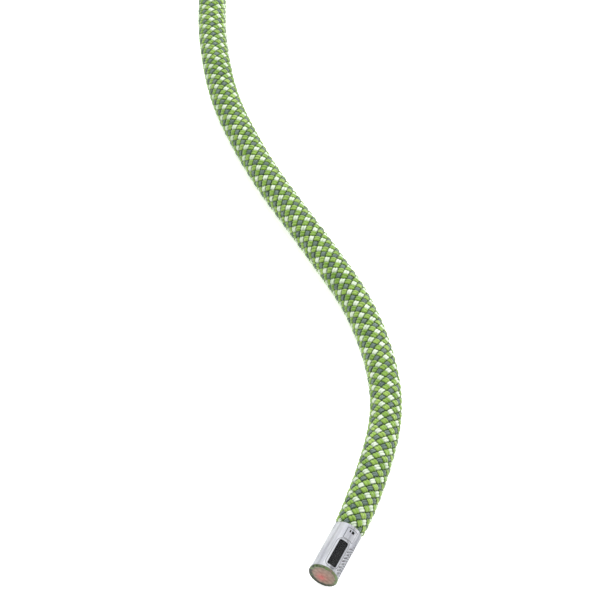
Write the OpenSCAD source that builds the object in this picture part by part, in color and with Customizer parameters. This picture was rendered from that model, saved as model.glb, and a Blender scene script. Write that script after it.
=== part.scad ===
// Dynamic climbing rope, 60 m: a free stretch that lies in an S-curve with its labelled end,
// and the rest wound into a tied hank beside it. It all rests on the plane z = 0.
// Units are millimetres. +Z is up, and -Y is the side that the free end points to.

/* [Rope] */
// Outside diameter of the rope
rope_d = 9.8; // [9.4:0.1:10.2]
// Wall of the braided sheath
sheath_wall = 1.1; // [0.9:0.1:1.3]
// Core strands in the outer ring
outer_strands = 10; // [8:1:10]
// Core strands in the inner ring, the marker strand among them
inner_strands = 4; // [3:1:4]

/* [Rope ends] */
// Wall of the sheath where the label squeezes it
squeezed_wall = 0.5; // [0.3:0.1:0.6]
// Thickness of the label band
label_wall = 0.1; // [0.08:0.01:0.15]
// Thickness of the clear sleeve over the label
sleeve_wall = 0.2; // [0.15:0.05:0.3]
// Thickness of the fused end
cap_t = 0.8; // [0.5:0.1:1.5]
// Length of the taper where the sheath narrows to the label
taper_len = 12; // [8:1:16]

/* [Hank] */
// Turns that lie side by side in a layer
turns = 6; // [4:1:6]
// Layers of turns
layers = 16; // [6:1:16]
// Straight run between the round ends
run = 140; // [120:5:140]
// Radius of the innermost turn, to the middle of the rope
inner_turn_r = 30; // [30:1:32]

/* [Ties] */
// Width of a tie
tie_w = 25; // [15:1:35]
// Thickness of a tie
tie_t = 1.5; // [1:0.1:2]
// Distance from the middle of the hank to each tie
tie_y = 45; // [35:1:50]

/* [Hidden] */
$fn = 96;
rope_r = rope_d / 2;
fit_gap = 0.02; // keeps a faceted surface inside the round one over it

// The sheath's bore and the strands that fill it. A ring of strands of radius s packs round
// a circle of radius s / sin(180 / count).
sheath_sides = 12;
strand_sides = 8;
bore_r = rope_r - sheath_wall;
core_gap = 0.06; // between the core and the flats of the bore
core_r = bore_r * cos(180 / sheath_sides) - core_gap;
strand_share = 0.222; // a strand's radius as a share of the core's
strand_r = core_r * strand_share;
outer_ring_r = core_r - strand_r;
inner_ring_slack = 1.02; // keeps the inner ring's strands just apart
inner_ring_r = strand_r / sin(180 / inner_strands) * inner_ring_slack;
strands = outer_strands + inner_strands - 1;
inner_ring_turn = -60; // brings the marker strand below the middle and to the right

// The route of the free stretch from the hank to the tip: [x, y, height above the floor].
route = [
    [9.5, 70.5, tie_t], [9.5, 89, 0.5], [9.5, 107.5, 0], [15, 128.5, 0], [30.5, 144, 0],
    [51.5, 150, 0], [72.5, 144.5, 0], [88, 129, 0], [93.5, 108, 0], [94, 90, 0],
    [96, 68.5, 0], [100, 47.5, 0], [107, 27, 0], [115.5, 7.5, 0], [125.5, -11.5, 0],
    [135, -29.5, 0], [143.5, -47, 0], [149, -64, 0], [152, -80.5, 0], [152, -96.5, 0],
    [149, -111.5, 0], [144.5, -126.5, 0], [140, -138, 0], [132.5, -154, 0]
];
axis_line = [for (p = route) [p[0], p[1], p[2] + rope_r]];
last = len(axis_line) - 1;
label_start = axis_line[last - 1];
tip = axis_line[last];
end_heading = unit(tip - label_start);
end_len = norm(tip - label_start);
shoulder = 0.3; // the short step from the sheath down to the label
cap_gap = 0.1; // between the label and the fused end
cap_lip = 0.1; // how far the fused end stands out past the sheath

// The sheath steps down at the label, and it and the core stop at the fused end.
core_line = concat([for (i = [0 : last - 1]) axis_line[i]], [tip - cap_t * end_heading]);
sheath_line = concat(
    [for (i = [0 : last - 1]) axis_line[i]],
    [label_start + shoulder * end_heading, tip - cap_t * end_heading]
);
neck_r = bore_r + squeezed_wall;
collar_rise = 0.35; // how far the sheath stands out past the neck, next to the label
collar_r = neck_r + collar_rise;
sheath_radii = [for (i = [0 : last + 1])
    i > last - 1 ? neck_r : i == last - 1 ? collar_r : rope_r];

label_r = neck_r + fit_gap + label_wall;
sleeve_r = label_r + sleeve_wall;
label_len = end_len - shoulder - cap_t - cap_gap;

// The hank. The route starts where the bottom layer's outer turn does.
turn_gap = 0.2; // between neighbouring turns
turn_pitch = rope_d + turn_gap;
outer_turn_r = inner_turn_r + (turns - 1) * turn_pitch;
hank_x = route[0][0] - outer_turn_r;
hank_y = route[0][1] - run / 2;
hank_r = outer_turn_r + rope_r;
hank_h = layers * rope_d;
top_layer_z = tie_t + hank_h - rope_d;

// The tail is the last stretch of the top layer's outer turn. It lies in the step round it.
tail_x = hank_x + outer_turn_r;
tail_z = top_layer_z + rope_r;
tail_start = hank_y + run / 2;
tail_label_in = 7; // how far before the end of the straight run the tail's label starts
tail_label_y = hank_y - run / 2 + tail_label_in;

sheath_green = [0.45, 0.66, 0.2];
core_white = [0.86, 0.8, 0.72];
marker_red = [0.75, 0.28, 0.27];
fused_olive = [0.35, 0.42, 0.25];
label_grey = [0.85, 0.85, 0.88];
sleeve_clear = [0.95, 0.95, 0.97, 0.4];
tie_black = [0.13, 0.14, 0.15];

function strand_name(i) = str("core_strand_", i < 10 ? "0" : "", i);
function unit(v) = v / norm(v);

// The frame that a section is swept in: its heading, the way across it and the way above it.
function heading(line, i) = unit(line[min(i + 1, len(line) - 1)] - line[max(i - 1, 0)]);
function across(line, i) = unit(cross(heading(line, i), [0, 0, 1]));
function above(line, i) = cross(across(line, i), heading(line, i));

// One ring of a swept tube. place shifts its middle sideways and up from the line.
function ring(line, i, r, sides, place) = [for (k = [0 : sides - 1])
    line[i] + (place[0] + r * cos(360 * k / sides)) * across(line, i)
    + (place[1] + r * sin(360 * k / sides)) * above(line, i)];

// The triangles between two neighbouring rings whose points start at a and b.
function skin(a, b, sides) = [for (k = [0 : sides - 1]) let (n = (k + 1) % sides)
    each [[a + k, b + k, b + n], [a + k, b + n, a + n]]];
function flipped(faces) = [for (f = faces) [f[2], f[1], f[0]]];

// A solid round bar swept along a line.
module swept_bar(line, r, sides, place) {
    rings = len(line);
    points = [for (i = [0 : rings - 1]) each ring(line, i, r, sides, place)];
    start_face = [for (k = [0 : sides - 1]) k];
    end_face = [for (k = [0 : sides - 1]) rings * sides - 1 - k];
    walls = [for (i = [0 : rings - 2]) each skin(i * sides, (i + 1) * sides, sides)];
    polyhedron(points, concat([start_face, end_face], walls));
}

// A hollow tube swept along a line, with an outside radius for each ring.
module swept_tube(line, radii, bore, sides) {
    rings = len(line);
    count = rings * sides;
    outside = [for (i = [0 : rings - 1]) each ring(line, i, radii[i], sides, [0, 0])];
    inside = [for (i = [0 : rings - 1]) each ring(line, i, bore, sides, [0, 0])];
    outer_wall = [for (i = [0 : rings - 2]) each skin(i * sides, (i + 1) * sides, sides)];
    inner_wall = [for (i = [0 : rings - 2])
        each skin(count + i * sides, count + (i + 1) * sides, sides)];
    start_rim = skin(count, 0, sides);
    end_rim = skin(count - sides, 2 * count - sides, sides);
    polyhedron(concat(outside, inside),
        concat(outer_wall, flipped(inner_wall), start_rim, end_rim));
}

module sheath() {
    color(sheath_green) swept_tube(sheath_line, sheath_radii, bore_r, sheath_sides);
}

// Strands are numbered round the outer ring and then round the inner one.
function strand_turn(i) = i <= outer_strands
    ? 360 * i / outer_strands
    : 360 * (i - outer_strands) / inner_strands + inner_ring_turn;
function strand_place(i) = (i <= outer_strands ? outer_ring_r : inner_ring_r)
    * [cos(strand_turn(i)), sin(strand_turn(i))];

module core_strand(i) {
    color(core_white) swept_bar(core_line, strand_r, strand_sides, strand_place(i));
}

// The coloured strand that marks the rope's year of make, in the inner ring.
module core_marker() {
    color(marker_red) swept_bar(core_line, strand_r, strand_sides, strand_place(strands + 1));
}

// The pieces on a rope's end, drawn along +Z from where the label starts.
module band(r_in, r_out) {
    translate([0, 0, shoulder]) difference() {
        cylinder(h = label_len, r = r_out);
        translate([0, 0, -1]) cylinder(h = label_len + 2, r = r_in);
    }
}
module label_band() {
    color(label_grey) band(neck_r + fit_gap, label_r);
}
module clear_sleeve() {
    color(sleeve_clear) band(label_r, sleeve_r);
}
module fused_cap() {
    color(fused_olive) translate([0, 0, end_len - cap_t]) cylinder(h = cap_t, r = neck_r + cap_lip);
}

module at_free_end() {
    translate(label_start) rotate([0, 90, atan2(end_heading[1], end_heading[0])]) children();
}
module at_tail_end() {
    translate([tail_x, tail_label_y, tail_z]) rotate([90, 0, 0]) children();
}

module end_label() {
    at_free_end() label_band();
}
module end_sleeve() {
    at_free_end() clear_sleeve();
}
module fused_end() {
    at_free_end() fused_cap();
}

// The outline of the wound turns out to a radius, with round ends.
module stadium(r) {
    square([2 * r, run], center = true);
    for (side = [-1, 1]) translate([0, side * run / 2]) circle(r);
}

// The wound turns as one closed solid. The top layer lacks its outer turn, where the tail lies,
// and a notch at the bottom lets the free stretch in.
module hank() {
    color(sheath_green) translate([hank_x, hank_y, 0]) difference() {
        union() {
            translate([0, 0, tie_t]) linear_extrude(hank_h - rope_d) stadium(hank_r);
            translate([0, 0, top_layer_z]) linear_extrude(rope_d) stadium(hank_r - turn_pitch);
        }
        translate([outer_turn_r - rope_r - turn_gap, run / 2, 0])
            cube([2 * rope_d, 2 * hank_r, tie_t + rope_d + turn_gap]);
    }
}

module tail_sheath() {
    body_len = tail_start - tail_label_y - taper_len;
    color(sheath_green) translate([tail_x, tail_start, tail_z]) rotate([90, 0, 0]) {
        cylinder(h = body_len, r = rope_r);
        translate([0, 0, body_len]) cylinder(h = taper_len, r1 = rope_r, r2 = collar_r);
        cylinder(h = body_len + taper_len + end_len - cap_t, r = neck_r);
    }
}
module tail_label() {
    at_tail_end() label_band();
}
module tail_sleeve() {
    at_tail_end() clear_sleeve();
}
module tail_fused_end() {
    at_tail_end() fused_cap();
}

// A flat tie round the whole hank. On the left it cuts the corner that the top layer leaves.
module tie_outline(grow) {
    half = hank_r + grow;
    top = tie_t + hank_h + grow;
    corner = turn_pitch - grow * tan(22.5);
    polygon([
        [half, tie_t - grow], [half, top], [-half + corner, top],
        [-half, top - corner], [-half, tie_t - grow]
    ]);
}
module tie(y) {
    color(tie_black) translate([hank_x, hank_y + y + tie_w / 2, 0]) rotate([90, 0, 0])
        linear_extrude(tie_w) difference() {
            tie_outline(tie_t);
            tie_outline(0);
        }
}
module tie_near() {
    tie(-tie_y);
}
module tie_far() {
    tie(tie_y);
}

sheath();
for (i = [1 : strands]) core_strand(i);
core_marker();
end_label();
end_sleeve();
fused_end();
hank();
tail_sheath();
tail_label();
tail_sleeve();
tail_fused_end();
tie_near();
tie_far();
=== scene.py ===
import math
import bpy
import numpy as np
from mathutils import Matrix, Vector


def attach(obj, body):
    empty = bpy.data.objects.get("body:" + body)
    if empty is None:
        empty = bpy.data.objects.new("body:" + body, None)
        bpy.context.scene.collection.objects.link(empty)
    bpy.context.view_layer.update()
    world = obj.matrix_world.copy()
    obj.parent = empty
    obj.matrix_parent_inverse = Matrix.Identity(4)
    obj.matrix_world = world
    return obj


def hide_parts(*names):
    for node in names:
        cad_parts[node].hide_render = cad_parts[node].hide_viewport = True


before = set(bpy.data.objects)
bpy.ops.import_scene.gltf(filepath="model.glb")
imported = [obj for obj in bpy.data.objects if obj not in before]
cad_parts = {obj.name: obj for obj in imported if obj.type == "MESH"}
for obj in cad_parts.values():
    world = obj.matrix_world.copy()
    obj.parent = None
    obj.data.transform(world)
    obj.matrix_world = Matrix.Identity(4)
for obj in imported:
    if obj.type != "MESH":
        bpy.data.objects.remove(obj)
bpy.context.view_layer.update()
mm = 0.001
tiny = 1e-12
fullTurn = 2 * math.pi
print("the packed frame is loaded")

# The camera looks along +Y, down on the free end from 48 degrees above the floor.
cameraSettings = dict(
    target=(0.126, -0.0425, 0.0),   # the point on the floor in the middle of the view
    distance=0.697,
    elevation=math.radians(48),
    lens=129.0, sensor=36.0,        # in mm
    nearest=0.01, furthest=20.0)


def makeCamera(settings):
    data = bpy.data.cameras.new("camera")
    data.lens = settings["lens"]
    data.sensor_width = settings["sensor"]
    data.clip_start = settings["nearest"]
    data.clip_end = settings["furthest"]
    camera = bpy.data.objects.new("camera", data)
    bpy.context.scene.collection.objects.link(camera)
    x, y, z = settings["target"]
    distance, elevation = settings["distance"], settings["elevation"]
    camera.location = (x, y - distance * math.cos(elevation), z + distance * math.sin(elevation))
    camera.rotation_euler = (math.pi / 2 - elevation, 0, 0)
    bpy.context.scene.camera = camera


makeCamera(cameraSettings)


def unit(vectors):
    return vectors / np.maximum(np.linalg.norm(vectors, axis=-1, keepdims=True), tiny)


def smoothStep(low, high, values):
    share = np.clip((values - low) / (high - low), 0, 1)
    return share * share * (3 - 2 * share)


def distancesAlong(line):
    return np.concatenate([[0], np.cumsum(np.linalg.norm(np.diff(line, axis=0), axis=1))])


def pointsAt(line, distances):
    known = distancesAlong(line)
    return np.stack([np.interp(distances, known, part) for part in line.T], axis=1)


def leftAndUp(heading):
    # Left is square to the heading in the floor's plane, and up is square to both, so that
    # left x up = heading.
    left = unit(np.cross([0.0, 0.0, 1.0], heading))
    return left, np.cross(heading, left)


def directions(line):
    # left and up at each point of a line, whose heading is its slope
    return leftAndUp(unit(np.gradient(line, axis=0)))


def turnAngles(sides):
    # A section's angles start at its bottom and turn over its left: 0 is the top.
    return fullTurn * (np.arange(sides) / sides - 0.5)


def circle(sides):
    angle = turnAngles(sides)
    return np.stack([np.sin(angle), np.cos(angle)], axis=-1)


def surface(name, points, along, hollow=False, tint=None):
    # points holds closed rings of points, for each tube, ring and side. Quads join neighbouring
    # rings, and a polygon closes each end, or the last ring joins the first one where the tube
    # is hollow. In the UV map, u is the share of a turn from the top, and v is each ring's own
    # number in along: a distance, or how many yarns a yarn has crossed.
    tubes, rings, sides = points.shape[:3]
    index = np.arange(tubes * rings * sides).reshape(tubes, rings, sides)
    ahead, beside = np.roll(index, -1, axis=1), np.roll(index, -1, axis=2)
    walls = np.stack([index, ahead, np.roll(ahead, -1, axis=2), beside], axis=-1)
    walls = (walls if hollow else walls[:, :-1]).reshape(-1, 4)
    ends = np.concatenate([index[:, 0], index[:, -1, ::-1]])[:0 if hollow else None]
    v = np.broadcast_to(along[..., None], index.shape).ravel()
    wallUv = np.stack([(walls[:, :1] % sides) / sides - 0.5 + np.array([0, 0, 1, 1]) / sides,
                       v[walls]], axis=-1)
    uv = np.concatenate([wallUv.reshape(-1, 2), np.zeros((ends.size, 2))])
    starts = np.concatenate([np.arange(len(walls)) * 4, walls.size + np.arange(len(ends)) * sides])
    mesh = bpy.data.meshes.new(name)
    mesh.vertices.add(index.size)
    mesh.vertices.foreach_set("co", points.astype(np.float32).ravel())
    mesh.loops.add(len(uv))
    mesh.loops.foreach_set("vertex_index", np.concatenate([walls.ravel(), ends.ravel()]))
    mesh.polygons.add(len(starts))
    mesh.polygons.foreach_set("loop_start", starts)
    mesh.polygons.foreach_set("use_smooth", np.arange(len(starts)) < len(walls))
    mesh.update(calc_edges=True)
    mesh.uv_layers.new(name="surface").data.foreach_set("uv", uv.astype(np.float32).ravel())
    if tint is not None:
        layer = mesh.color_attributes.new("tint", "FLOAT_COLOR", "POINT")
        layer.data.foreach_set("color", tint.astype(np.float32).ravel())
    mesh.validate()
    piece = bpy.data.objects.new(name, mesh)
    bpy.context.scene.collection.objects.link(piece)
    return piece


def sweep(name, centres, left, up, section, along, hollow=False):
    # A section carried along a path: each point is the path's point, plus the section's first
    # number times left, plus its second number times up.
    points = (centres[..., None, :] + section[..., :1] * left[..., None, :]
              + section[..., 1:] * up[..., None, :])
    return surface(name, points, along, hollow)


class Value:
    # One output of a node. Sums and products of values add Math nodes, and node() any other.
    def __init__(self, tree, socket=None):
        self.tree = tree
        self.socket = socket

    def node(self, kind, settings, sockets, output=0):
        made = self.tree.nodes.new("ShaderNode" + kind)
        for name, setting in settings.items():
            setattr(made, name, setting)
        for name, value in sockets.items():
            if isinstance(value, Value):
                self.tree.links.new(value.socket, made.inputs[name])
            else:
                made.inputs[name].default_value = value
        return Value(self.tree, made.outputs[output])

    def math(self, operation, *others):
        return self.node("Math", {"operation": operation}, dict(enumerate((self,) + others)))

    def __add__(self, other):
        return self.math("ADD", other)

    def __sub__(self, other):
        return self.math("SUBTRACT", other)

    def __rsub__(self, other):
        return (self * -1) + other

    def __mul__(self, other):
        return self.math("MULTIPLY", other)

    def __truediv__(self, other):
        return self.math("DIVIDE", other)

    def __abs__(self):
        return self.math("ABSOLUTE")

    __radd__ = __add__
    __rmul__ = __mul__

    def step(self, low, high):
        # from 0 below low to 1 above high, with a smooth change between them
        return self.node("MapRange", {"interpolation_type": "SMOOTHSTEP"},
                         {"Value": self, "From Min": low, "From Max": high})

    def mix(self, first, second):
        # the first colour where this value is 0, and the second one where it is 1
        return self.node("Mix", {"data_type": "RGBA"}, {0: self, 6: first, 7: second}, output=2)

    def noise(self, vector, scale, detail=2.0):
        return self.node("TexNoise", {}, {"Vector": vector, "Scale": scale, "Detail": detail})

    def vector(self, x, y, z=0.0):
        return self.node("CombineXYZ", {}, {0: x, 1: y, 2: z})

    def into(self, shader, socket):
        self.tree.links.new(self.socket, shader.inputs[socket])


def newMaterial(name, constants):
    # the shader's own constant sockets, then the material, its first value and its shader
    material = bpy.data.materials.new(name)
    material.use_nodes = True
    shader = material.node_tree.nodes["Principled BSDF"]
    for socket, number in constants.items():
        shader.inputs[socket].default_value = number
    return material, Value(material.node_tree), shader


def surfaceUv(start):
    # u, the share of a turn from the top, and v, the number along
    uv = start.node("UVMap", {"uv_map": "surface"}, {})
    return [start.node("SeparateXYZ", {}, {0: uv}, output=k) for k in (0, 1)]


def place(start):
    # the point of the surface, in the object's own coordinates
    return start.node("TexCoord", {}, {}, output=3)


def paint(red, green, blue):
    # a colour given as a screen shows it, from 0 to 255, as the shader's linear numbers
    shown = np.array([red, green, blue]) / 255
    linear = np.where(shown <= 0.04045, shown / 12.92, ((shown + 0.055) / 1.055) ** 2.4)
    return tuple(float(part) for part in linear) + (1.0,)


def bump(start, height, strength, distance):
    return start.node("Bump", {}, {"Strength": strength, "Distance": distance, "Height": height})


# The rope and its free stretch. The points run from the hank to the label and the tip, with the
# height of the rope's underside above the floor, in millimetres.
rope = dict(
    diameter=9.8 * mm,
    columns=20,                 # picks round the rope
    pickPitch=1.34 * mm,        # the distance along the rope between rows of picks
    relaxed=0.2 * mm,           # how far the braid swells where nothing loads the rope
    pointGap=0.5 * mm)          # between the points of the smooth line
relaxedRadius = rope["diameter"] / 2 + rope["relaxed"]
routePoints = [
    (9.5, 70.5, 1.5), (9.5, 89, 0.5), (9.5, 107.5, 0), (15, 128.5, 0), (30.5, 144, 0),
    (51.5, 150, 0), (72.5, 144.5, 0), (88, 129, 0), (93.5, 108, 0), (94, 90, 0),
    (96, 68.5, 0), (100, 47.5, 0), (107, 27, 0), (115.5, 7.5, 0), (125.5, -11.5, 0),
    (135, -29.5, 0), (143.5, -47, 0), (149, -64, 0), (152, -80.5, 0), (152, -96.5, 0),
    (149, -111.5, 0), (144.5, -126.5, 0), (140, -138, 0), (132.5, -154, 0)]
ropeEnd = dict(
    length=17.67 * mm,          # from where the label starts to the tip
    shoulder=0.3 * mm,          # between the sheath's full size and the label
    capThickness=0.8 * mm, capGap=0.1 * mm,
    labelRadii=(4.32 * mm, 4.42 * mm),
    sleeveRadii=(4.42 * mm, 4.62 * mm),
    neckRadius=4.25 * mm,
    collarRadius=4.8 * mm,
    taperLength=13 * mm, stepLength=2.2 * mm)


def smoothLine(points, startHeading, endHeading, step):
    # A cubic through all the points, whose slope and curvature carry on at each one. Its slopes
    # m solve m(k-1)/a + 2m(k)(1/a + 1/b) + m(k+1)/b = 3(rise a + rise b), where a and b are the
    # gaps beside point k and a rise is the step between two points over the gap squared.
    knots = distancesAlong(points)
    gaps = np.diff(knots)
    rise = np.diff(points, axis=0) / gaps[:, None] ** 2
    inner = np.arange(1, len(points) - 1)
    matrix = np.eye(len(points))
    matrix[inner, inner - 1] = 1 / gaps[:-1]
    matrix[inner, inner] = 2 / gaps[:-1] + 2 / gaps[1:]
    matrix[inner, inner + 1] = 1 / gaps[1:]
    target = np.concatenate([[startHeading], 3 * (rise[:-1] + rise[1:]), [endHeading]])
    slopes = np.linalg.solve(matrix, target)
    places = np.arange(0, knots[-1], step)
    k = np.searchsorted(knots, places, side="right") - 1
    gap = gaps[k][:, None]
    t = (places - knots[k])[:, None] / gap
    return ((1 - t) ** 2 * ((1 + 2 * t) * points[k] + t * gap * slopes[k])
            + t ** 2 * ((3 - 2 * t) * points[k + 1] - (1 - t) * gap * slopes[k + 1]))


route = np.array(routePoints) * mm + [0, 0, rope["diameter"] / 2]
join, labelStart, tip = route[0], route[-2], route[-1]
tipHeading = unit(tip - labelStart)
freeLine = smoothLine(route[:-1], np.array([0.0, 1.0, 0.0]), tipHeading, rope["pointGap"])
freeLine = np.concatenate([freeLine, [labelStart, tip]])
freeLength = distancesAlong(freeLine)[-1]
print(f"the free stretch is {freeLength:.3f} m long")


def ropeRadius(pastLabel, full):
    # The rope's outside radius: full, then a taper, and a short step down under the label.
    taper = smoothStep(-ropeEnd["taperLength"], 0, pastLabel)
    step = smoothStep(-ropeEnd["stepLength"], 0, pastLabel)
    collar, neck = ropeEnd["collarRadius"], ropeEnd["neckRadius"]
    return full + (collar - full) * taper + (neck - collar) * step


wall = dict(
    coverDepth=0.9 * mm,        # from the braid's crests down to the wall under it
    boreRadius=3.7 * mm,
    leastThickness=0.1 * mm,
    rings=300, sides=20)


def makeSheathWall():
    # A hollow wall that the yarns are braided over, whose deep green is painted shade between
    # them: an outer tube that turns back into an inner one, both carried along the free stretch.
    places = np.linspace(0, freeLength - ropeEnd["capThickness"], wall["rings"])
    line = pointsAt(freeLine, places)
    left, up = directions(line)
    bore, labelAt = wall["boreRadius"], freeLength - ropeEnd["length"]
    outer = ropeRadius(places - labelAt, relaxedRadius) - wall["coverDepth"]
    outer = np.maximum(outer, bore + wall["leastThickness"])
    radii = np.concatenate([outer, np.full(len(line), bore)])
    both = [np.concatenate([part, part[::-1]])[None] for part in (line, left, up)]
    along = np.concatenate([places, places[::-1]])[None]
    section = radii[None, :, None, None] * circle(wall["sides"])
    return sweep("sheath_wall", *both, section, along, hollow=True), line


hank = dict(
    turns=6, layers=16,
    run=140 * mm,               # the straight runs between the round ends
    innerTurn=30 * mm,
    pitch=10 * mm,
    lift=1.5 * mm,              # the ties' thickness, which it stands on
    crossing=31 * mm,           # half the stretch of the left run where turns change place
    bulge=2.8 * mm,             # how far a turn swings out as it climbs to the next layer
    wander=(0.25 * mm, 0.1 * mm),   # how far the turns stray sideways and up
    wanderWaves=((8.3, 1.9, 1.0), (2.3, 6.1, 2.0)),     # radians in a turn, and where one starts
    fadeTurns=1.2,              # how soon before the tail's end the wander dies away
    tailLabel=63 * mm,          # how far past the middle the tail's label starts
    taperPoints=(13 * mm, 9 * mm, 5 * mm, 1.6 * mm, 0.8 * mm),  # before the tail's label
    runPoints=3, arcPoints=14, crossingPoints=8,
    sides=12)


def hankLine(settings):
    # Turn n runs down the right side in its own place, round the near end and up the left side,
    # where it moves over to the place of turn n + 1, and round the far end. Places go inwards
    # on even layers and outwards on odd ones, and a turn that ends its layer climbs to the next.
    turns, run, pitch = settings["turns"], settings["run"], settings["pitch"]
    outer = settings["innerTurn"] + (turns - 1) * pitch
    centre = np.array([join[0] - outer, join[1] - run / 2])
    count = turns * settings["layers"]
    order = np.arange(count)
    layer, lane = order // turns, order % turns
    offsets = np.where(layer % 2 == 0, outer - pitch * lane, settings["innerTurn"] + pitch * lane)
    heights = settings["lift"] + rope["diameter"] * (layer + 0.5)
    ends = np.where(np.diff(layer) == 0, 0, np.where(layer[:-1] % 2 == 0, -1, 1))
    straight, arc, cross = settings["runPoints"], settings["arcPoints"], settings["crossingPoints"]
    share = settings["crossing"] / run
    part = np.concatenate([
        np.arange(straight) / straight,
        1 + np.arange(arc) / arc,
        [2.0], 2.5 + share * np.linspace(-1, 1, cross + 1),
        3 + np.arange(arc) / arc])
    n = np.repeat(np.arange(count - 1), len(part))
    part = np.tile(part, count - 1)
    moved = (part - 2.5) / (2 * share) + 0.5
    change = smoothStep(0, 1, moved)
    swing = settings["bulge"] * smoothStep(0, 0.25, moved) * smoothStep(1, 0.75, moved)
    offset = offsets[n] + (offsets[n + 1] - offsets[n]) * change + ends[n] * swing
    height = heights[n] + (heights[n + 1] - heights[n]) * change
    # The last turn has only its right side, and ends with the tail's label.
    tailEnd = 0.5 + (settings["tailLabel"] + ropeEnd["length"] - ropeEnd["capThickness"]) / run
    labelPart = 0.5 + settings["tailLabel"] / run
    taper = np.array(settings["taperPoints"]) / run
    tailParts = np.concatenate([[0, 0.25, 0.5, 0.75], labelPart - taper, [labelPart, tailEnd]])
    part = np.concatenate([part, tailParts])
    offset = np.concatenate([offset, np.full(len(tailParts), offsets[-1])])
    height = np.concatenate([height, np.full(len(tailParts), heights[-1])])
    progress = np.concatenate([n, np.full(len(tailParts), count - 1)]) + part / 4
    # The turns wander a little, each way by the product of two waves whose lengths don't
    # match the turns', and the wander dies away at both ends.
    fade = smoothStep(0, 1, progress) * smoothStep(count, count - settings["fadeTurns"], progress)

    def stray(reach, first, second, begin):
        return reach * fade * np.sin(progress * first) * np.sin(progress * second + begin)

    offset, height = (
        way + stray(reach, *waves) for way, reach, waves in zip(
            (offset, height), settings["wander"], settings["wanderWaves"]))
    isTail = progress >= count - 1
    nearEnd = np.where(isTail, 0, np.clip(part - 1, 0, 1))
    farEnd = np.clip(part - 3, 0, 1)
    rightRun = np.where(isTail, part, np.clip(part, 0, 1))
    leftRun = np.clip(part - 2, 0, 1)
    angle = -math.pi * (nearEnd + farEnd)
    along = np.where(isTail | (part < 2), 0.5 - rightRun, leftRun - 0.5)
    x = centre[0] + offset * np.cos(angle)
    y = centre[1] + run * along + offset * np.sin(angle)
    return np.stack([x, y, height], axis=1)


hankRoute = hankLine(hank)
hankLength = distancesAlong(hankRoute)[-1]
print(f"the hank holds {hankLength:.2f} m in {len(hankRoute)} points")


def makeHank():
    # A round tube carried along all the turns, with the rope's taper at the tail's label.
    places = distancesAlong(hankRoute)
    left, up = directions(hankRoute)
    labelAt = places[-1] - (ropeEnd["length"] - ropeEnd["capThickness"])
    radii = ropeRadius(places - labelAt, rope["diameter"] / 2)
    section = radii[None, :, None, None] * circle(hank["sides"])
    return sweep("wound_turns", hankRoute[None], left[None], up[None], section, places[None])


# The braid over the wall: pairs of yarns that wind both ways, over and under each other. The
# green ones wind to the left and are fuller than the mint and slate ones, which wind right.
braid = dict(
    middleRadius=4.12 * mm,
    wave=0.4 * mm,              # how far a yarn rises and dips where it crosses others
    ringsPerPick=4,
    firstRow=-0.34,             # where the rows of picks stand at the hank
    firstTurn=math.radians(-38.5),
    twist=math.radians(105),    # the whole braid's turn in a metre
    runUnder=2 * mm,            # how far the yarns run on under the label
    lean=0.012,                 # how far a yarn strays from its place round the rope, in radians
    swayLength=23 * mm, swayTurn=0.008, swayRise=0.02 * mm,
    swell=0.05,                 # how much wider a yarn spreads on top, and narrower below
    sectionTurns=(-180, -90, -45, 0, 45, 90),   # round above, and pointed below
    leftWay=dict(winding=1, halfWidth=0.58 * mm, halfThickness=0.45 * mm, spread=0.44),
    rightWay=dict(winding=-1, halfWidth=0.48 * mm, halfThickness=0.42 * mm, spread=0.4),
    thinWay=dict(winding=-1, halfWidth=0.43 * mm, halfThickness=0.38 * mm, spread=0.34))


def makeYarns(name, way, pairs, seed):
    # Pair p winds one column of picks for each row, at column = 2p + row or 2p - row, and its
    # two yarns lie a spread to each side. Their crossing number goes up by one for each yarn
    # pair that they cross, and the radius is the middle one plus a wave: cos(pi x crossing).
    labelAt = freeLength - ropeEnd["length"]
    ringGap = rope["pickPitch"] / braid["ringsPerPick"]
    places = np.arange(0, labelAt + braid["runUnder"], ringGap)
    line = pointsAt(freeLine, places)
    left, up = directions(line)
    winding = way["winding"]
    row = places / rope["pickPitch"] + braid["firstRow"]
    pair = np.repeat(pairs, 2)[:, None]
    spread = np.tile([-way["spread"], way["spread"]], len(pairs))[:, None]
    column = 2 * pair + spread + winding * row
    crossing = pair + (column + winding * row) / 2
    over = winding * np.cos(math.pi * crossing)
    generator = np.random.default_rng(seed)
    lean = generator.normal(0, braid["lean"], len(pair))
    phase = generator.uniform(0, fullTurn, len(pair))
    sway = np.sin(places * fullTurn / braid["swayLength"] + phase[:, None])
    angle = fullTurn * column / rope["columns"] + braid["firstTurn"] + braid["twist"] * places
    angle = angle + lean[:, None] + braid["swayTurn"] * sway
    outermost = braid["middleRadius"] + braid["wave"] + braid["leftWay"]["halfThickness"]
    scale = ropeRadius(places - labelAt, relaxedRadius) / outermost
    radius = scale * (braid["middleRadius"] + braid["wave"] * over + braid["swayRise"] * sway)
    outward = np.sin(angle)[..., None] * left + np.cos(angle)[..., None] * up
    centres = line + radius[..., None] * outward
    centres[..., 2] = np.maximum(centres[..., 2], way["halfThickness"])   # flattened on the floor
    along = unit(np.gradient(centres, axis=1))
    side = unit(np.cross(outward, along))
    width = (way["halfWidth"] * scale * (1 + braid["swell"] * over))[..., None]
    thickness = np.broadcast_to(way["halfThickness"] * scale, over.shape)[..., None]
    turn = np.radians(braid["sectionTurns"])
    section = np.stack([width * np.sin(turn), thickness * np.cos(turn)], axis=-1)
    return sweep(name, centres, side, np.cross(along, side), section, crossing)


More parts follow.
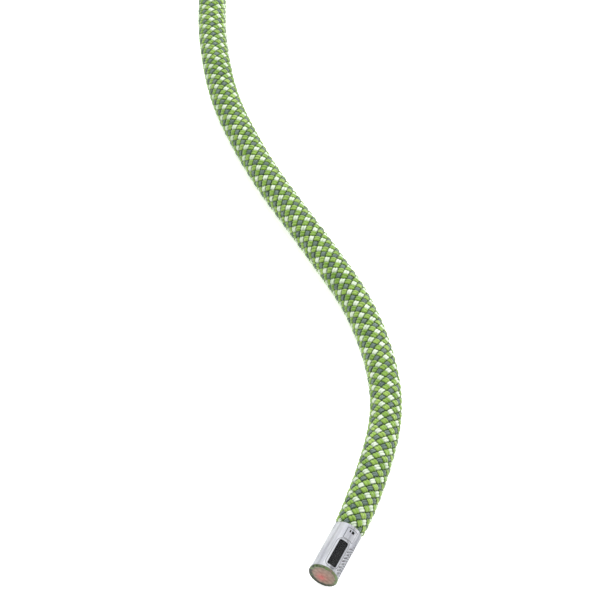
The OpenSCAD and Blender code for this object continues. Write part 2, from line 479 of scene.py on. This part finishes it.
core = dict(
    strandRadius=0.79 * mm,
    outerCount=10, outerRing=2.81 * mm,
    innerCount=4, innerRing=1.16 * mm,
    innerTurn=-1 / 6,           # where the inner ring starts, as a share of a turn
    lay=16 * mm,                # one turn of a strand's plies
    plies=3, ridge=0.09,        # how deep the valleys between the plies are
    rings=360, sides=12)


def strandPlaces(numbers):
    # Strands 1 to 10 stand round the outer ring and 11 to 14 round the inner one, as left and up.
    count = core["outerCount"]
    outer, later = numbers <= count, (numbers - count) / core["innerCount"] + core["innerTurn"]
    angle = np.where(outer, numbers / count, later) * fullTurn
    radius = np.where(outer, core["outerRing"], core["innerRing"])
    return np.stack([-radius * np.cos(angle), radius * np.sin(angle)], axis=-1)


def makeStrands(name, numbers):
    # Each strand keeps its place in the rope. Its section is a circle with a ridge for each ply,
    # and they turn once in a lay: radius (1 - ridge + ridge cos(plies (angle - turn))).
    places = np.linspace(0, freeLength - ropeEnd["capThickness"], core["rings"])
    line = pointsAt(freeLine, places)
    left, up = directions(line)
    across, above = strandPlaces(np.array(numbers))[:, :, None, None].transpose(1, 0, 2, 3)
    centres = line + across * left + above * up
    angle = turnAngles(core["sides"])
    lobes = np.cos(core["plies"] * (angle - fullTurn * places[:, None] / core["lay"]))
    radius = core["strandRadius"] * (1 - core["ridge"] + core["ridge"] * lobes)
    section = radius[..., None] * circle(core["sides"])
    section = np.broadcast_to(section, (len(numbers),) + section.shape)
    lefts, ups = (np.broadcast_to(part, centres.shape) for part in (left, up))
    return sweep(name, centres, lefts, ups, section, np.broadcast_to(places, centres.shape[:2]))


band = dict(edge=0.03 * mm, sides=96)


def makeBand(name, start, heading, radii):
    # A thin open cylinder: two circles carried straight along, joined at both edges.
    first, edge = ropeEnd["shoulder"], band["edge"]
    last = ropeEnd["length"] - ropeEnd["capThickness"] - ropeEnd["capGap"]
    places = np.array([first, first + edge, last - edge, last])
    radius = np.repeat(radii[::-1], len(places))
    places = np.concatenate([places, places[::-1]])
    centres = start + places[:, None] * heading
    lefts, ups = (np.broadcast_to(part, centres.shape)[None] for part in leftAndUp(heading))
    section = (radius[:, None, None] * circle(band["sides"]))[None]
    return sweep(name, centres[None], lefts, ups, section, (places - first)[None], hollow=True)


melt = dict(
    coreRadius=3.7 * mm,        # inside the melted sheath
    rimRadius=4.54 * mm, leastRadius=0.02 * mm,
    setBack=0.12 * mm,          # how far the front lies behind the tip, so that the bead fits
    backEdge=((0.15, 0.0), (0.05, 0.04), (0.0, 0.12)),  # inside the rim and above the back, in mm
    frontEdge=((0.0, 0.2), (0.04, 0.08), (0.12, 0.0)),  # inside the rim and below the front, in mm
    rings=42, sides=120,
    bead=0.16 * mm,             # how far the melted rim stands out
    beadInset=0.42 * mm, beadWidth=0.3 * mm, beadRipple=0.7,
    dome=0.05 * mm,             # how far each melted strand stands out
    valley=-0.6,                # how deep the gaps between strands lie, as a share of the dome
    lean=0.7 * mm,              # how much further in the sheath's part reaches at the lower side
    ripples=(2, 3, 5, 9, 14, 23),   # waves round the rim, which turn with the radius
    rippleTurn=1.3, rippleHeight=0.05 * mm,
    ragged=0.55 * mm,           # how far the ripples move the edge of the core
    coreEdge=(0.4 * mm, 0.3 * mm),
    stains=((0.75, 1.15 * mm), (0.3, 2.1 * mm)),    # the dye's strength and reach: marker, core
    sheathColours=((30, 44, 24), (100, 124, 72)),
    sheathEdge=(-0.3, 0.5), lowerShade=0.5,     # where the ripples lighten it, and the painted shade on the lower side
    coreColours=((130, 108, 92), (150, 126, 108)),
    strandEdge=(1.3, 0.2),      # from the gaps to the strands, in strand radii
    markerColour=(206, 98, 92))


def blend(first, second, share):
    first, second = np.array(first), np.array(second)
    return first + (second - first) * share[..., None]


def bell(distance, reach):
    return np.exp(-(distance / reach) ** 2)


def makeMelt(name, start, heading, seed):
    # A disc turned round the rope's line, from its back over its edge to its front. The front
    # rises in a bead round the rim and in a dome over each strand, and a colour for each point
    # follows the same places.
    rim, least, rings, sides = (melt[part] for part in ("rimRadius", "leastRadius", "rings", "sides"))
    back = ropeEnd["length"] - ropeEnd["capThickness"]
    front = ropeEnd["length"] - melt["setBack"]
    backInset, backRise = np.array(melt["backEdge"]).T * mm
    frontInset, frontDepth = np.array(melt["frontEdge"]).T * mm
    flat = np.linspace(rim - frontInset[-1], least, rings)
    radius = np.concatenate([[least], rim - backInset, rim - frontInset[:-1], flat])
    height = np.concatenate([[back], back + backRise, front - frontDepth[:-1], np.full(rings, front)])
    isFront = np.arange(len(radius)) >= len(radius) - rings
    across = radius[:, None, None] * circle(sides)
    gaps = np.linalg.norm(across[:, :, None] - strandPlaces(np.arange(1, 15)), axis=-1)
    nearest = gaps.min(-1) / core["strandRadius"]
    r = radius[:, None]
    turns = np.array(melt["ripples"])
    waves = np.random.default_rng(seed).uniform(0, fullTurn, len(turns))
    angle = fullTurn * np.arange(sides) / sides
    ripple = np.sin(angle[:, None] * turns + waves + melt["rippleTurn"] * r[..., None] / mm).mean(-1)
    lower = -across.sum(-1) / (math.sqrt(2) * rim)      # 1 at the lower side
    reach = r + melt["ragged"] * ripple + melt["lean"] * lower - melt["coreRadius"]
    inCore = 1 - smoothStep(-melt["coreEdge"][0], melt["coreEdge"][1], reach)
    bead = melt["bead"] * bell(r - rim + melt["beadInset"], melt["beadWidth"])
    bead = bead * (1 + melt["beadRipple"] * ripple)
    dome = melt["dome"] * inCore * (1 - nearest ** 2).clip(melt["valley"], 1)
    raised = height[:, None] + isFront[:, None] * (bead + dome + melt["rippleHeight"] * ripple)
    left, up = leftAndUp(heading)
    points = start + raised[..., None] * heading + across[..., :1] * left + across[..., 1:] * up
    # The sheath's colour is lighter along the ripples, and painted shade deepens it towards the lower
    # side.
    sheathShare = smoothStep(*melt["sheathEdge"], ripple - melt["lowerShade"] * lower)
    sheathTone = blend(*[paint(*c) for c in melt["sheathColours"]], sheathShare)
    # Painted shade: the core's colour is deeper in the gaps between the strands' domes.
    coreShare = smoothStep(*melt["strandEdge"], nearest)
    coreTone = blend(*[paint(*c) for c in melt["coreColours"]], coreShare)
    (markerStrength, markerReach), (wideStrength, wideReach) = melt["stains"]
    redness = markerStrength * bell(gaps[..., -1], markerReach) + wideStrength * bell(r, wideReach)
    coreTone = coreTone + (np.array(paint(*melt["markerColour"])) - coreTone) * redness[..., None]
    tint = sheathTone + (coreTone - sheathTone) * inCore[..., None]
    return surface(name, points[None], radius[None], tint=tint)


tie = dict(
    width=25 * mm, thickness=1.5 * mm,
    distance=45 * mm,           # from the hank's middle
    bend=5 * mm,                # at the hank's corners
    overlap=62 * mm,            # how far the free end lies over the start
    startShare=0.5,             # where the start lies, as a share of the way to the top's middle
    climb=(16 * mm, 2 * mm),    # where the second lap rises, before it meets the start
    rise=1.05,                  # how far it rises, in thicknesses
    edge=0.45,                  # the round of the tape's edges, in thicknesses
    pointGap=2 * mm,
    chevron=6.2, rib=1.5, thread=0.8)   # the weave's repeats, in mm


def roundedOutline(corners, radius, arcPoints=9):
    # A convex outline, counter-clockwise, whose corners become arcs: each arc's middle lies a
    # radius inside both sides, and its points stand a radius off along the turning normal.
    sides = unit(np.roll(corners, -1, axis=0) - corners)
    after = np.stack([sides[:, 1], -sides[:, 0]], axis=1)
    before = np.roll(after, 1, axis=0)
    middle = corners - radius * (before + after) / (1 + (before * after).sum(1, keepdims=True))
    share = np.linspace(0, 1, arcPoints)[:, None]
    normals = unit(before[:, None] * (1 - share) + after[:, None] * share)
    return (middle[:, None] + radius * normals).reshape(-1, 2)


def makeTie(name, middleY):
    # A flat tape carried round the hank's outline in the X-Z plane, with its end lying over its
    # start. It climbs by its own thickness just before it gets there.
    thickness, pitch = tie["thickness"], hank["pitch"]
    outer = hank["innerTurn"] + (hank["turns"] - 1) * pitch
    centreX = join[0] - outer
    half = outer + rope["diameter"] / 2 + thickness / 2
    low, high = thickness / 2, hank["layers"] * rope["diameter"] + 1.5 * thickness
    cut = pitch - thickness / 2 * math.tan(math.pi / 8)
    corners = np.array([
        [-half, low], [half, low], [half, high], [cut - half, high], [-half, high - cut]])
    outline = roundedOutline(corners + [centreX, 0], tie["bend"])
    outline = np.concatenate([outline, outline[:1]])
    around = distancesAlong(outline)[-1]
    places = np.arange(0, around + tie["overlap"], tie["pointGap"])
    begin = 2 * half + (high - low) + tie["startShare"] * half
    flat = pointsAt(outline, (places + begin) % around)
    ahead = unit(np.gradient(flat, axis=0))
    before, after = tie["climb"]
    climb = tie["rise"] * thickness * smoothStep(around - before, around - after, places)
    flat = flat + climb[:, None] * np.stack([ahead[:, 1], -ahead[:, 0]], axis=1)
    ahead = unit(np.gradient(flat, axis=0))
    level = np.full(len(flat), middleY)
    centres = np.stack([flat[:, 0], level, flat[:, 1]], axis=1)
    heading = np.stack([ahead[:, 0], 0 * level, ahead[:, 1]], axis=1)
    outwards = np.stack([ahead[:, 1], 0 * level, -ahead[:, 0]], axis=1)
    x, y = tie["width"] / 2, thickness / 2
    edges = np.array([[-x, -y], [x, -y], [x, y], [-x, y]])
    section = roundedOutline(edges, tie["edge"] * thickness)[::-1]
    return sweep(name, centres[None], np.cross(outwards, heading)[None], outwards[None],
                 section[None, None], places[None])


def yarnMaterial(name, winding, body, pale, paintedShade):
    # Twisted filaments run along the yarn and its tone drifts. Its colour holds painted shade at its
    # sides, where it dips under the others, and faintly between filaments. v is its crossing number.
    material, start, shader = newMaterial(name, {
        "Roughness": 0.5, "Sheen Weight": 0.6, "Sheen Roughness": 0.35, "Specular IOR Level": 0.35})
    u, v = surfaceUv(start)
    filaments = ((u * 15 + v * 0.6) * fullTurn).math("COSINE") * 0.5 + 0.5
    streaks = start.noise(start.vector(u * 9, v * 0.8), 1.0)
    drift = start.noise(place(start), 260.0)
    tone = (streaks * 0.55 + drift * 0.45).step(0.36, 0.66)
    over = (v * math.pi).math("COSINE") * winding
    # painted shade: the yarn's sides, where it dips under others, and the gaps between filaments
    side = abs(u).step(0.11, 0.35) * 0.9
    dip = (1 - over).step(0.2, 0.95)
    shade = (side + dip + filaments * 0.12).math("MINIMUM", 1.0)
    shade.mix(tone.mix(body, pale), paintedShade).into(shader, "Base Color")
    bump(start, filaments * 0.5 + streaks, 0.6, 0.08 * mm).into(shader, "Normal")
    return material


# For each yarn: its colour, a paler one where its tone drifts, and its painted shade colour
colours = dict(
    green=(paint(112, 154, 46), paint(160, 198, 88), paint(44, 76, 18)),
    lime=(paint(124, 164, 54), paint(174, 206, 102), paint(48, 80, 20)),
    mint=(paint(216, 233, 204), paint(238, 246, 230), paint(84, 118, 56)),
    slate=(paint(80, 102, 94), paint(124, 144, 134), paint(30, 54, 20)))


def wallShadeMaterial():
    # Deep greens that stand for the shade in the gaps between the yarns: painted shade.
    material, start, shader = newMaterial("sheath wall in painted shade", {"Roughness": 0.85})
    tone = start.noise(place(start), 900.0).step(0.35, 0.65)
    tone.mix(paint(40, 62, 22), paint(62, 88, 36)).into(shader, "Base Color")
    return material


def braidMaterial():
    # The same braid, drawn on a plain tube. With i = (column - row) / 2 and
    # j = (column + row) / 2, each whole i and j is a pick: the green way lies over where i + j
    # is even, and the other way where it is odd, mint for even j and slate for odd.
    material, start, shader = newMaterial("wound braid", {
        "Roughness": 0.55, "Sheen Weight": 0.35, "Sheen Roughness": 0.4, "Specular IOR Level": 0.4})
    u, v = surfaceUv(start)
    column, row = u * rope["columns"], v / rope["pickPitch"]
    i, j = (column - row) * 0.5, (column + row) * 0.5
    wholeI, wholeJ = (i + 0.5).math("FLOOR"), (j + 0.5).math("FLOOR")
    partI, partJ = i - wholeI, j - wholeJ
    other = (wholeI + wholeJ).math("FLOORED_MODULO", 2.0)
    slate = wholeJ.math("FLOORED_MODULO", 2.0)
    across = abs(partI + (partJ - partI) * other)
    along = partJ + (partI - partJ) * other
    offMiddle = (across - 0.25) * 4
    rounding = (1 - offMiddle * offMiddle).math("MAXIMUM", 0.0).math("SQRT")
    arch = (along * math.pi).math("COSINE")
    height = rounding * 0.5 + arch * 0.5
    where = place(start)
    tone = (start.noise(where, 420.0) * 0.6 + start.noise(where, 90.0) * 0.4).step(0.36, 0.64)
    green = tone.mix(paint(98, 140, 38), paint(142, 182, 72))
    mint = tone.mix(paint(196, 216, 184), paint(220, 234, 210))
    grey = tone.mix(*colours["slate"][:2])
    picked = other.mix(green, slate.mix(mint, grey))
    # Painted shade: each pick's colour goes towards a shade colour near its edges and ends, where it
    # dips under the others.
    paintedShade = other.mix(colours["green"][2], slate.mix(colours["mint"][2], colours["slate"][2]))
    shade = (1 - height).step(0.22, 0.85) * 0.9
    shade.mix(picked, paintedShade).into(shader, "Base Color")
    bump(start, height, 0.9, 0.45 * mm).into(shader, "Normal")
    return material


def strandMaterial(name, body, pale):
    # Fine filaments wind round the strand, each turn as long as its pitch
    material, start, shader = newMaterial(name, {"Roughness": 0.6, "Sheen Weight": 0.4})
    u, v = surfaceUv(start)
    count, pitch = 24, 2 * mm
    filaments = ((u * count + v / pitch) * fullTurn).math("COSINE") * 0.5 + 0.5
    drift = start.noise(place(start), 300.0).step(0.3, 0.7)
    drift.mix(body, pale).into(shader, "Base Color")
    bump(start, filaments, 0.4, 0.05 * mm).into(shader, "Normal")
    return material


label = dict(
    ink=paint(4, 4, 6), film=paint(226, 227, 234), filmLight=paint(242, 243, 247),
    bar=((1.8, 10.6), (1.5, 4.7), 0.5),         # a middle, a half size and a corner, in mm
    rim=((1.8, 10.6), (2.15, 5.35), 1.8),
    box=((2.55, 3.0), (1.75, 1.95), 0.15),
    marks=(((2.9, 2.0), (0.42, 0.45), 0.06), ((1.9, 2.0), (0.2, 0.42), 0.06)),
    firstRow=((4.85, 10.9), (0.65, 4.8), 0.1), firstStrokes=(1.15, 0.9, 0.28),
    secondRow=((6.4, 9.6), (0.5, 5.9), 0.1), secondStrokes=(0.9, 0.6, 0.3),
    line=0.07)                                  # half of a thin line's width


def outsideBox(x, y, middle, half, corner):
    # the distance outside a box with round corners, negative inside it
    pastX = (abs(x - middle[0]) - (half[0] - corner)).math("MAXIMUM", 0.0)
    pastY = (abs(y - middle[1]) - (half[1] - corner)).math("MAXIMUM", 0.0)
    return (pastX * pastX + pastY * pastY).math("SQRT") - corner


def labelMaterial():
    # A pale grey film with a plain printed bar, a thin line round it, a small ruled box with two
    # marks, and rows of short strokes. x is the way round from the top, to the left, and y the
    # way along, both in mm.
    material, start, shader = newMaterial("label film", {"Specular IOR Level": 0.1})
    u, v = surfaceUv(start)
    x, y = u * (fullTurn * ropeEnd["labelRadii"][1] / mm), v / mm

    def filled(shape):
        return 1 - outsideBox(x, y, *shape).step(-0.05, 0.05)

    def ruled(shape):
        return 1 - (abs(outsideBox(x, y, *shape)) - label["line"]).step(-0.04, 0.05)

    def strokes(shape, pitch, slant, share):
        # slanting short lines side by side, printed unevenly
        across = ((y + x * slant) / pitch).math("FLOORED_MODULO", 1.0)
        broken = start.noise(start.vector(x * 0.9, y * 0.9), 1.0).step(0.4, 0.55) * 0.6 + 0.4
        return filled(shape) * (1 - abs(across - 0.5).step(share / 2, share / 2 + 0.1)) * broken

    printed = filled(label["bar"]) + ruled(label["rim"]) * 0.75 + ruled(label["box"]) * 0.85
    for mark in label["marks"]:
        printed = printed + filled(mark)
    printed = printed + strokes(label["firstRow"], *label["firstStrokes"]) * 0.9
    printed = printed + strokes(label["secondRow"], *label["secondStrokes"]) * 0.8
    ink = printed.math("MINIMUM", 1.0)
    sheen = start.noise(start.vector(x * 0.4, y * 0.12), 1.0).step(0.3, 0.7)
    film = sheen.mix(label["film"], label["filmLight"])
    ink.mix(film, label["ink"]).into(shader, "Base Color")
    (ink * 0.15 + 0.4).into(shader, "Roughness")
    wrinkles = start.noise(start.vector(x * 1.5, y * 0.7), 1.0)
    bump(start, wrinkles, 0.15, 0.1 * mm).into(shader, "Normal")
    return material


def sleeveMaterial():
    # nearly clear film, with a faint haze that drifts
    material, start, shader = newMaterial("clear sleeve", {
        "Base Color": paint(170, 172, 178), "Specular IOR Level": 0.5})
    haze = start.noise(place(start), 90.0).step(0.3, 0.7)
    (haze * 0.01 + 0.025).into(shader, "Alpha")
    (haze * 0.1 + 0.16).into(shader, "Roughness")
    return material


def meltMaterial():
    # The colours are the disc's own, and the melt is glossy with small pits
    material, start, shader = newMaterial("melted nylon", {"Specular IOR Level": 0.5})
    tint = start.node("VertexColor", {"layer_name": "tint"}, {})
    pits = start.noise(place(start), 1500.0, 3.0)
    grain = pits.step(0.3, 0.7) * 0.3
    grain.mix(tint, paint(70, 60, 48)).into(shader, "Base Color")
    (pits * 0.3 + 0.25).into(shader, "Roughness")
    bump(start, pits, 0.35, 0.15 * mm).into(shader, "Normal")
    return material


def webbingMaterial():
    # Ribs run across the tape and slant to and fro over fine threads
    material, start, shader = newMaterial("tie webbing", {
        "Roughness": 0.7, "Sheen Weight": 0.3, "Sheen Roughness": 0.5})
    along = surfaceUv(start)[1] / mm
    across = start.node("SeparateXYZ", {}, {0: place(start)}, output=1) / mm
    slant = abs((across / tie["chevron"]).math("FLOORED_MODULO", 1.0) - 0.5) * 2
    ribs = ((along / tie["rib"] + slant) * fullTurn).math("COSINE") * 0.5 + 0.5
    threads = ((across / tie["thread"]) * fullTurn).math("COSINE") * 0.5 + 0.5
    weave = ribs * 0.7 + threads * 0.3
    drift = start.noise(place(start), 120.0).step(0.3, 0.7)
    tone = weave * 0.6 + drift * 0.25
    tone.mix(paint(24, 26, 30), paint(66, 70, 76)).into(shader, "Base Color")
    bump(start, weave, 0.7, 0.3 * mm).into(shader, "Normal")
    return material


sheathWall, sheathPath = makeSheathWall()
windings = {
    "yarns_green": ("leftWay", [0, 2, 4, 6, 8], "green"),
    "yarns_lime": ("leftWay", [1, 3, 5, 7, 9], "lime"),
    "yarns_mint": ("rightWay", [0, 2, 4, 6, 8], "mint"),
    "yarns_slate": ("thinWay", [1, 3, 5, 7, 9], "slate")}
yarns = []
for number, (name, (way, pairs, tone)) in enumerate(windings.items()):
    yarn = makeYarns(name, braid[way], pairs, seed=20 + number)
    yarn.data.materials.append(yarnMaterial(tone + " yarn", braid[way]["winding"], *colours[tone]))
    yarns.append(yarn)
sheathWall.data.materials.append(wallShadeMaterial())
print("the free stretch is braided")

strandNumbers = range(1, 14)
strands = makeStrands("core_strands", strandNumbers)
undyed = strandMaterial("core nylon", paint(218, 206, 188), paint(236, 228, 214))
strands.data.materials.append(undyed)
marker = makeStrands("marker_strand", [14])
dyed = strandMaterial("marker nylon", paint(196, 66, 70), paint(216, 96, 94))
marker.data.materials.append(dyed)
print("the core is laid")

turns = makeHank()
turns.data.materials.append(braidMaterial())
print("the hank is wound")

tailStart = hankRoute[-1] + [0, ropeEnd["length"] - ropeEnd["capThickness"], 0]
labelLook, sleeveLook, meltLook = labelMaterial(), sleeveMaterial(), meltMaterial()
tailHeading = np.array([0.0, -1.0, 0.0])
freeNodes = ("end_label", "end_sleeve", "fused_end")
tailNodes = ("tail_label", "tail_sleeve", "tail_fused_end")
for side, start, heading, nodes in (
        ("free", labelStart, tipHeading, freeNodes), ("tail", tailStart, tailHeading, tailNodes)):
    film = makeBand(side + "_label_film", start, heading, ropeEnd["labelRadii"])
    sleeve = makeBand(side + "_clear_sleeve", start, heading, ropeEnd["sleeveRadii"])
    melted = makeMelt(side + "_melted_end", start, heading, seed=31)
    looks = (
        (film, labelLook, "label"), (sleeve, sleeveLook, "clear_sleeve"), (melted, meltLook, "fused"))
    for (piece, look, slot), node in zip(looks, nodes):
        piece.data.materials.append(look)
        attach(piece, "root")
        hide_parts(node)
print("both ends are finished")

hankMiddle = join[1] - hank["run"] / 2
webbing = webbingMaterial()
for name, node, way in (("near_tie", "tie_near", -1), ("far_tie", "tie_far", 1)):
    tape = makeTie(name, hankMiddle + way * tie["distance"])
    tape.data.materials.append(webbing)
    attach(tape, "root")
    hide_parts(node)
print("the ties are on")

for piece in [sheathWall, strands, marker, turns] + yarns:
    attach(piece, "root")
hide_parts("sheath")
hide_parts(*[f"core_strand_{number:02d}" for number in strandNumbers])
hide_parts("core_marker")
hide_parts("hank", "tail_sheath")

studio = dict(
    floorHalf=3.0,
    floorColour=paint(246, 246, 246), floorGlow=0.64,
    white=(1.0, 1.0, 1.0, 1.0), skyStrength=0.53,
    lights=dict(                # a place, a size across and a power in watts
        key=((0.95, 0.15, 0.7), 0.7, 5.8),
        back=((-0.15, 0.75, 0.95), 0.35, 11.0),
        fill=((-0.5, -0.9, 0.9), 1.0, 2.0)),
    aim=(0.12, -0.02, 0.0))


def makeFloor():
    # a flat square, from its four corners, which glows a little so that it stays pale in shade
    mesh = bpy.data.meshes.new("floor")
    corners = studio["floorHalf"] * np.array([[-1, -1, 0], [1, -1, 0], [1, 1, 0], [-1, 1, 0]])
    mesh.from_pydata(corners.tolist(), [], [[0, 1, 2, 3]])
    floor = bpy.data.objects.new("floor", mesh)
    bpy.context.scene.collection.objects.link(floor)
    mesh.materials.append(newMaterial("pale floor", {
        "Roughness": 0.9, "Specular IOR Level": 0.1, "Base Color": studio["floorColour"],
        "Emission Color": studio["white"], "Emission Strength": studio["floorGlow"]})[0])


def makeLight(name, position, size, power):
    data = bpy.data.lights.new(name, "AREA")
    data.shape = "DISK"
    data.size = size
    data.energy = power
    light = bpy.data.objects.new(name, data)
    bpy.context.scene.collection.objects.link(light)
    light.location = position
    aim = Vector(studio["aim"]) - light.location
    light.rotation_euler = aim.to_track_quat("-Z", "Y").to_euler()


def makeSky():
    world = bpy.data.worlds.new("studio")
    world.use_nodes = True
    background = world.node_tree.nodes["Background"]
    background.inputs["Color"].default_value = studio["white"]
    background.inputs["Strength"].default_value = studio["skyStrength"]
    bpy.context.scene.world = world


makeFloor()
for name, (position, size, power) in studio["lights"].items():
    makeLight(name + " light", position, size, power)
makeSky()
bpy.context.scene.view_settings.view_transform = "Standard"
print("the studio is lit")
